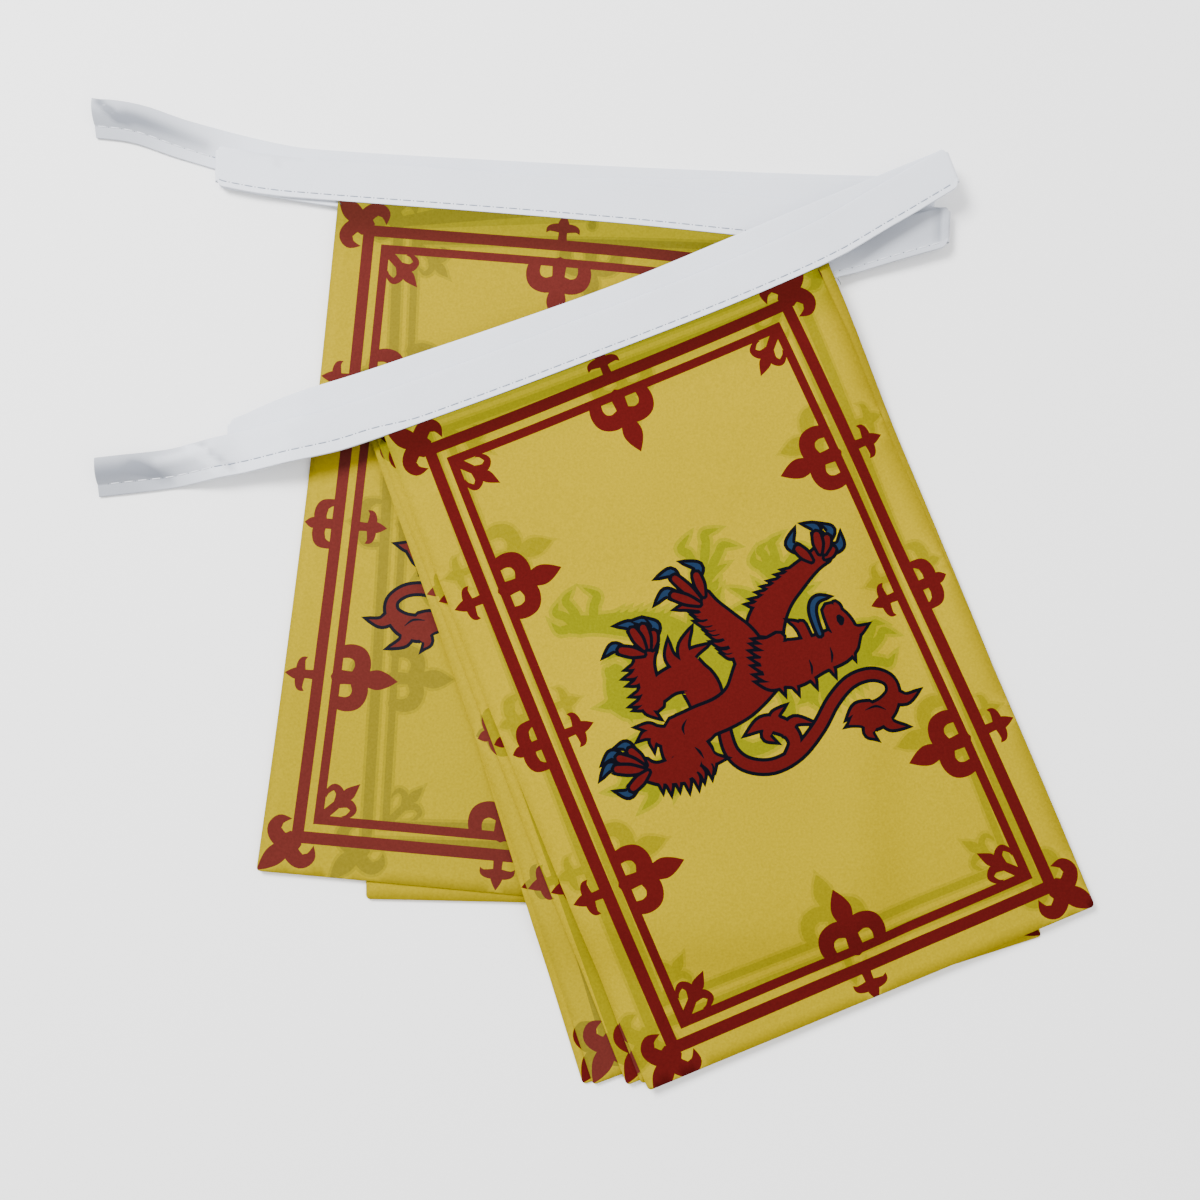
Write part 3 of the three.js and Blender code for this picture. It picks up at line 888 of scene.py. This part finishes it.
def crease_height(level, points):
    """How far the creases of a layer push points of the frame up, in millimetres."""
    points = points[:, :2] / MM - np.array(SHIFT)
    total = np.zeros(len(points))
    for layer, start, end, height, half_width in CREASES:
        if layer != level:
            continue
        a = np.array(start)
        line = np.array(end) - a
        share = np.clip((points - a) @ line / (line @ line), 0, 1)
        gap = np.linalg.norm(points - a - share[:, None] * line, axis=1)
        total += height * np.exp(-(gap / half_width) ** 2)
    return total


def shade_band_share(across, row):
    """The painted shade of the loose tape is deepest in its middle, between the seam and its folded edge."""
    share = np.clip((across - row["seam"]) / (row["width"] - row["seam"]), 0, 1)
    return 0.7 + 0.3 * np.sin(math.pi * share ** 0.8)


def make_tape(material):
    rows = stations()
    vertices = []
    shades = []
    for row in rows:
        profile = np.array(section(row["width"], row["puff"], row["seam"]))
        across = (row["folded"] - row["sewn"])[None] * (profile[:, :1] / row["width"])
        ring = row["sewn"] + across + row["up"] * profile[:, 1:] * MM
        creases = crease_height(row["level"], ring)
        ring[:, 2] += creases * MM
        vertices += list(ring)
        # Painted shade: the greyed loose tape and fold, deeper in the grooves of the creases, with painted
        # highlight on their ridges
        shades += list(row["shade"] * shade_band_share(profile[:, 0], row) - CREASE_SHADE_AND_HIGHLIGHT * creases)
    n = len(section(TAPE_WIDTH, 0, STITCH_LINE))
    faces = []
    for i in range(len(rows) - 1):
        for j in range(n):
            k = (j + 1) % n
            faces.append((i * n + j, (i + 1) * n + j, (i + 1) * n + k, i * n + k))
    half = n // 2
    last = (len(rows) - 1) * n
    # The cut ends are closed between the outer and the inner face of the strip.
    for j in range(half - 1):
        faces.append((j, j + 1, n - 2 - j, n - 1 - j))
        faces.append((last + n - 1 - j, last + n - 2 - j, last + j + 1, last + j))
    obj = new_object("tape_cloth", vertices, faces, material)
    add_shade(obj, shades)
    return obj


def thread_path(points, radius):
    """A round thread through points, with pointed ends."""
    sides = THREAD_SIDES
    points = np.asarray(points, float)
    vertices = []
    for i, p in enumerate(points):
        along = points[min(i + 1, len(points) - 1)] - points[max(i - 1, 0)]
        along = along / np.linalg.norm(along)
        side = np.cross(along, (0, 0, 1.0))
        side = side / max(np.linalg.norm(side), 1e-9)
        rise = np.cross(side, along)
        r = radius * (0.35 if i in (0, len(points) - 1) else 1)
        for j in range(sides):
            t = 2 * math.pi * j / sides
            vertices.append(p + side * r * math.cos(t) + rise * r * math.sin(t))
    faces = []
    for i in range(len(points) - 1):
        for j in range(sides):
            k = (j + 1) % sides
            faces.append((i * sides + j, i * sides + k, (i + 1) * sides + k, (i + 1) * sides + j))
    faces.append(tuple(reversed(range(sides))))
    faces.append(tuple(range(len(vertices) - sides, len(vertices))))
    return vertices, faces


def join(parts):
    vertices = []
    faces = []
    for more_vertices, more_faces in parts:
        first = len(vertices)
        vertices += list(more_vertices)
        faces += [tuple(first + i for i in face) for face in more_faces]
    return vertices, faces


def seam_points(rows, side):
    """Points over the seam on one face of a run's tape, one for each of its stations."""
    points = []
    for row in rows:
        share = row["seam"] / row["width"]
        up = row["up"] * side * (TAPE_HALF - SEAM_GROOVE) * MM
        points.append(row["sewn"] + (row["folded"] - row["sewn"]) * share + up)
    points = np.array(points)
    points[:, 2] += crease_height(rows[0]["level"], points) * MM
    return points


def make_stitches(thread, tail_thread, hole):
    """Threads on both faces of the tape, and small dark discs painted as the shade in the holes where the
    needle went through.
    """
    threads = {"stitches": [], "tail_stitches": []}
    holes = []
    rows = stations()
    for level in range(len(RUNS)):
        own = [row for row in rows if row["level"] == level]
        for side in (1, -1):
            line = seam_points(own, side)
            lengths = np.concatenate([[0], np.cumsum(np.linalg.norm(np.diff(line, axis=0), axis=1))]) / MM
            ups = np.array([row["up"] * side for row in own])
            shades = [row["shade"] for row in own]

            def at(length):
                return sample(length, lengths, line), sample(length, lengths, ups)

            first = 1.0 + (0 if side > 0 else STITCH_PITCH / 2)
            while first + STITCH_LENGTH < lengths[-1]:
                path = []
                for share, height in STITCH_PROFILE:
                    point, up = at(first + share * STITCH_LENGTH)
                    path.append(point + up * height * MM)
                # The same white thread: where the tape is in painted shade it keeps its white, elsewhere it
                # takes the darker colour painted as the seam's shade
                on_tail = float(np.interp(first, lengths, shades)) > 0.2
                threads["tail_stitches" if on_tail else "stitches"].append(thread_path(path, THREAD * MM))
                point, up = at(first + STITCH_LENGTH + (STITCH_PITCH - STITCH_LENGTH) / 2)
                along = np.cross(up, (0, 1.0, 0))
                across = np.cross(up, along)
                turns = np.linspace(0, 2 * math.pi, THREAD_SIDES, endpoint=False)
                ring = [(along * math.cos(t) + across * math.sin(t)) * NEEDLE_HOLE * MM for t in turns]
                top = [point + spoke + up * 0.04 * MM for spoke in ring]
                base = [point + spoke - up * 0.15 * MM for spoke in ring]
                n = THREAD_SIDES
                walls = [(j, (j + 1) % n, (j + 1) % n + n, j + n) for j in range(n)]
                caps = [tuple(range(n - 1, -1, -1)), tuple(range(n, 2 * n))]
                holes.append(([*top, *base], caps + walls))
                first += STITCH_PITCH
    return [
        new_object("stitches", *join(threads["stitches"]), thread),
        new_object("tail_stitches", *join(threads["tail_stitches"]), tail_thread),
        new_object("needle_holes", *join(holes), hole),
    ]


def make_thread_ends(material):
    """The loose ends of dark thread at two corners of the flags, just under the tape."""
    parts = []
    for level, start, lean in ((2, (-87.4, 133.4), (0.5, -1.0)), (7, (76.6, 104.4), (0.8, -0.5))):
        dice = random.Random(level)
        points = []
        place = np.array(start)
        heading = math.atan2(lean[1], lean[0])
        for i in range(6):
            z = middle_height(level, place[None])[0] + 0.35 + 0.05 * i
            points.append(lift(place[None], [z])[0])
            heading += dice.uniform(-0.5, 0.5)
            place = place + 0.55 * np.array([math.cos(heading), math.sin(heading)])
        parts.append(thread_path(points, 0.11 * MM))
    return new_object("thread_ends", *join(parts), material)


# Materials
def new_material(name):
    material = bpy.data.materials.new(name)
    material.use_nodes = True
    nodes = material.node_tree.nodes
    return material, nodes, material.node_tree.links, nodes["Principled BSDF"]


def add_node(nodes, kind, **inputs):
    node = nodes.new(kind)
    for name, value in inputs.items():
        node.inputs[name].default_value = value
    return node


def combine(nodes, links, operation, first, second):
    node = nodes.new("ShaderNodeMath")
    node.operation = operation
    links.new(first, node.inputs[0])
    links.new(second, node.inputs[1])
    return node.outputs[0]


def tint(nodes, color):
    node = nodes.new("ShaderNodeRGB")
    node.outputs[0].default_value = linear(color)
    return node.outputs[0]


def set_gloss(shader, roughness, specular):
    shader.inputs["Roughness"].default_value = roughness
    shader.inputs["Specular IOR Level"].default_value = specular


def weave_bump(nodes, links, shader, pitch, strength, distance):
    """A plain weave: two sets of threads across each other, with a little unevenness."""
    place = nodes.new("ShaderNodeTexCoord")
    rough = add_node(nodes, "ShaderNodeTexNoise", Scale=900.0, Detail=3.0)
    links.new(place.outputs["Object"], rough.inputs["Vector"])
    heights = []
    for direction in ("X", "Y"):
        wave = nodes.new("ShaderNodeTexWave")
        wave.bands_direction = direction
        wave.inputs["Scale"].default_value = 1 / pitch / 3.18
        wave.inputs["Distortion"].default_value = 0.6
        wave.inputs["Detail"].default_value = 1.0
        links.new(place.outputs["Object"], wave.inputs["Vector"])
        heights.append(wave.outputs["Fac"])
    threads = combine(nodes, links, "MULTIPLY", *heights)
    uneven = combine(nodes, links, "ADD", threads, rough.outputs["Fac"])
    bump = add_node(nodes, "ShaderNodeBump", Strength=strength, Distance=distance)
    links.new(uneven, bump.inputs["Height"])
    links.new(bump.outputs["Normal"], shader.inputs["Normal"])
    return place


def grain(nodes, links, place, color, scale, low, high, dark):
    """Lets a colour vary by fine or broad noise, down to dark times itself."""
    noise = add_node(nodes, "ShaderNodeTexNoise", Scale=scale, Detail=4.0, Roughness=0.6)
    links.new(place.outputs["Object"], noise.inputs["Vector"])
    ramp = add_node(nodes, "ShaderNodeMapRange", **{"From Min": low, "From Max": high, "To Min": dark})
    ramp.inputs["To Max"].default_value = 1.0
    links.new(noise.outputs["Fac"], ramp.inputs["Value"])
    scaled = nodes.new("ShaderNodeVectorMath")
    scaled.operation = "SCALE"
    links.new(color, scaled.inputs[0])
    links.new(ramp.outputs["Result"], scaled.inputs["Scale"])
    return scaled.outputs[0]


def shaded(nodes, links, color, dark):
    """A colour that goes to dark times itself where the piece's stored painted shade is 1."""
    shade = nodes.new("ShaderNodeAttribute")
    shade.attribute_name = "shade"
    mix = nodes.new("ShaderNodeMix")
    mix.data_type = "RGBA"
    mix.blend_type = "MULTIPLY"
    mix.inputs[7].default_value = (*dark, 1)
    links.new(shade.outputs["Fac"], mix.inputs[0])
    links.new(color, mix.inputs[6])
    return mix.outputs[2]


def flag_cloth(name, roughness):
    material, nodes, links, shader = new_material(name)
    place = weave_bump(nodes, links, shader, 0.00035, 0.25, 0.00006)
    printed = nodes.new("ShaderNodeAttribute")
    printed.attribute_name = "print"
    color = shaded(nodes, links, printed.outputs["Color"], CLOTH_SHADE)
    fine = grain(nodes, links, place, color, 1300.0, 0.3, 0.7, 0.8)
    broad = grain(nodes, links, place, fine, 14.0, 0.35, 0.7, 0.93)
    links.new(broad, shader.inputs["Base Color"])
    set_gloss(shader, roughness, 0.02)
    return material


def tape_fabric():
    material, nodes, links, shader = new_material("tape_cloth")
    place = weave_bump(nodes, links, shader, 0.0005, 0.2, 0.00006)
    color = shaded(nodes, links, tint(nodes, TAPE_WHITE), TAPE_SHADE)
    broad = grain(nodes, links, place, color, 30.0, 0.35, 0.7, 0.95)
    links.new(broad, shader.inputs["Base Color"])
    set_gloss(shader, 0.55, 0.35)
    return material


def plain_thread(name, color, roughness):
    material, nodes, links, shader = new_material(name)
    place = nodes.new("ShaderNodeTexCoord")
    fine = grain(nodes, links, place, tint(nodes, color), 2500.0, 0.3, 0.7, 0.8)
    links.new(fine, shader.inputs["Base Color"])
    shader.inputs["Roughness"].default_value = roughness
    return material


# Floor, light and camera
def make_stage():
    r = FLOOR_REACH
    corners = [(-r, -r, 0), (r, -r, 0), (r, r, 0), (-r, r, 0)]
    floor = new_object("floor", corners, [(0, 1, 2, 3)], pale_floor())
    world = bpy.data.worlds.new("studio")
    world.use_nodes = True
    background = world.node_tree.nodes["Background"]
    background.inputs["Color"].default_value = (1, 1, 1, 1)
    background.inputs["Strength"].default_value = 1.05
    bpy.context.scene.world = world
    for name, place, size, power in (
        ("key", (-0.6, 0.55, 1.0), 0.5, 34.0),
        ("fill", (0.7, -0.3, 1.2), 1.2, 9.0),
    ):
        light = bpy.data.lights.new(name, "AREA")
        light.size = size
        light.energy = power
        lamp = bpy.data.objects.new(name, light)
        lamp.location = place
        aim(lamp, (0.0, 0.0, 0.0))
        bpy.context.collection.objects.link(lamp)


def pale_floor():
    material, nodes, links, shader = new_material("pale_floor")
    shader.inputs["Base Color"].default_value = linear((255, 255, 255))
    set_gloss(shader, 0.9, 0.1)
    return material


def aim(obj, target):
    direction = Vector(target) - obj.location
    obj.rotation_euler = direction.to_track_quat("-Z", "Y").to_euler()


def make_camera():
    data = bpy.data.cameras.new("camera")
    data.lens = LENS
    data.sensor_width = 36
    camera = bpy.data.objects.new("camera", data)
    tilt = math.radians(CAMERA_TILT)
    x, y, z = LOOK_AT
    camera.location = (
        (x + SHIFT[0]) * MM,
        (y + SHIFT[1] - CAMERA_DISTANCE * math.sin(tilt)) * MM,
        (z + CAMERA_DISTANCE * math.cos(tilt)) * MM,
    )
    camera.rotation_euler = (tilt, 0, 0)
    bpy.context.collection.objects.link(camera)
    bpy.context.scene.camera = camera


# The whole string
make_camera()
make_stage()
front_cloth = flag_cloth("flag_front", 0.78)
back_cloth = flag_cloth("flag_back", 0.84)
tape = make_tape(tape_fabric())
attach(tape, "root")
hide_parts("tape")
stitches = make_stitches(
    plain_thread("shaded_stitch_thread", SHADED_STITCH_COLOR, 0.6),
    plain_thread("tail_thread", TAIL_STITCH_COLOR, 0.6),
    plain_thread("needle_hole_shade", NEEDLE_HOLE_SHADE_COLOR, 0.9),
)
stitches.append(make_thread_ends(plain_thread("dark_thread", DARK_THREAD_COLOR, 0.7)))
for piece in stitches:
    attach(piece, "root")
for level, run in enumerate(RUNS):
    is_front = level % 2 == 1
    flag = make_flag(level, front_cloth if is_front else back_cloth)
    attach(flag, "root")
    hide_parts(run.flag)
